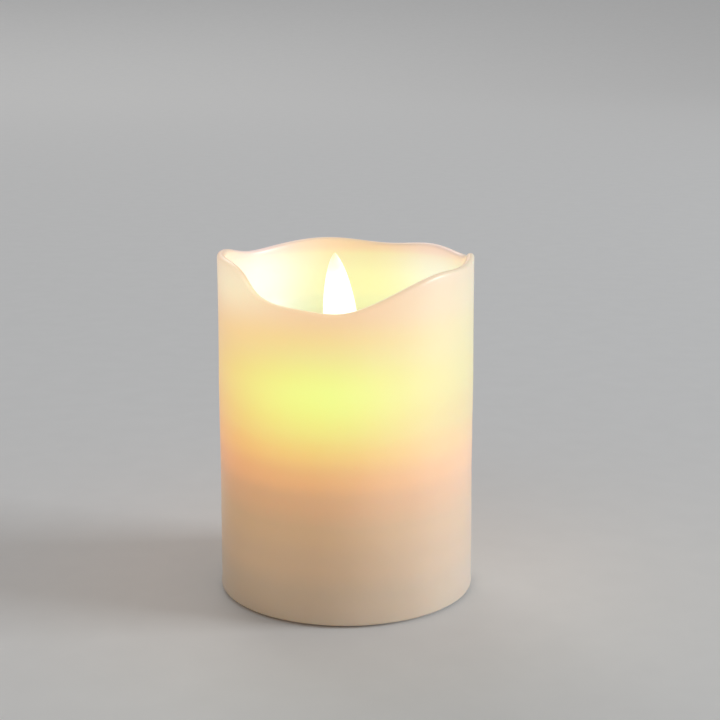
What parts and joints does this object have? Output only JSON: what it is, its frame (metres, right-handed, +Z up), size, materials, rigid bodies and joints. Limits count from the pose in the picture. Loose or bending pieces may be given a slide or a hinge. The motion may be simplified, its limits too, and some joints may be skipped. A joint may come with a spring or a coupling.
{
  "type": "flameless led candle",
  "caption": "Battery pillar candle: hollow wax shell with a melted wavy rim over a plastic core, with a lit flame leaf that swings on a wire.",
  "frame": {"origin": "on the table under the middle of the candle", "axes": "+Z up along the candle's axis; -Y is the front, where the rim dips lowest; the flame swings along X"},
  "size_m": [0.075, 0.075, 0.1001],
  "materials": {
    "wax": "satin",
    "base_plastic": "matte",
    "door_plastic": "matte",
    "core_plastic": "matte",
    "neck_plastic": "satin",
    "wire_steel": "satin",
    "flame_plastic": "satin",
    "magnet_nickel": "polished",
    "bobbin_plastic": "matte",
    "copper": "gloss",
    "lens": "gloss",
    "board_green": "satin",
    "chip_black": "matte",
    "capacitor_sleeve": "gloss",
    "plated_metal": "polished",
    "cell_can": "satin",
    "switch_can": "satin",
    "switch_black": "matte",
    "screw_steel": "satin",
    "lead_red": "satin",
    "lead_black": "satin",
    "lead_white": "satin",
    "lead_blue": "satin"
  },
  "bodies": {
    "candle": {"wax_shell": "wax", "base_cup": "base_plastic", "core_cover": "core_plastic", "neck_front": "neck_plastic", "neck_rear": "neck_plastic", "pivot_wire": "wire_steel", "coil_bobbin": "bobbin_plastic", "coil_winding": "copper", "flame_lamp": "lens", "circuit_board": "board_green", "controller_chip": "chip_black", "drive_transistor": "chip_black", "filter_capacitor": "capacitor_sleeve", "timer_crystal": "plated_metal", "board_resistors": "chip_black", "cell_front": "cell_can", "cell_rear": "cell_can", "negative_plate": "plated_metal", "negative_spring": "plated_metal", "positive_plate": "plated_metal", "bridge_plate": "plated_metal", "bridge_spring": "plated_metal", "switch_body": "switch_can", "base_screws": "screw_steel", "neck_screws": "screw_steel", "board_screws": "screw_steel", "positive_lead": "lead_red", "negative_lead": "lead_black", "coil_leads": "copper", "lamp_leads": "lead_white", "switch_leads": "lead_blue"},
    "flame": {"flame_leaf": "flame_plastic", "flame_magnet": "magnet_nickel"},
    "battery_door_body": {"battery_door": "door_plastic"},
    "switch_slide_body": {"switch_knob": "switch_black", "switch_slider": "switch_black"}
  },
  "joints": [
    {"name": "flame_swing", "type": "hinge", "parent": "candle", "child": "flame", "pos_m": [0, 0, 0.063], "axis": [0, 1, 0], "range_deg": [-18, 18]},
    {"name": "battery_door_hinge", "type": "hinge", "parent": "candle", "child": "battery_door_body", "pos_m": [-0.02885, 0, 0.0017], "axis": [0, 1, 0], "range_deg": [0, 90]},
    {"name": "switch_slide", "type": "slide", "parent": "candle", "child": "switch_slide_body", "axis": [1, 0, 0], "range_m": [0, 0.004]}
  ]
}
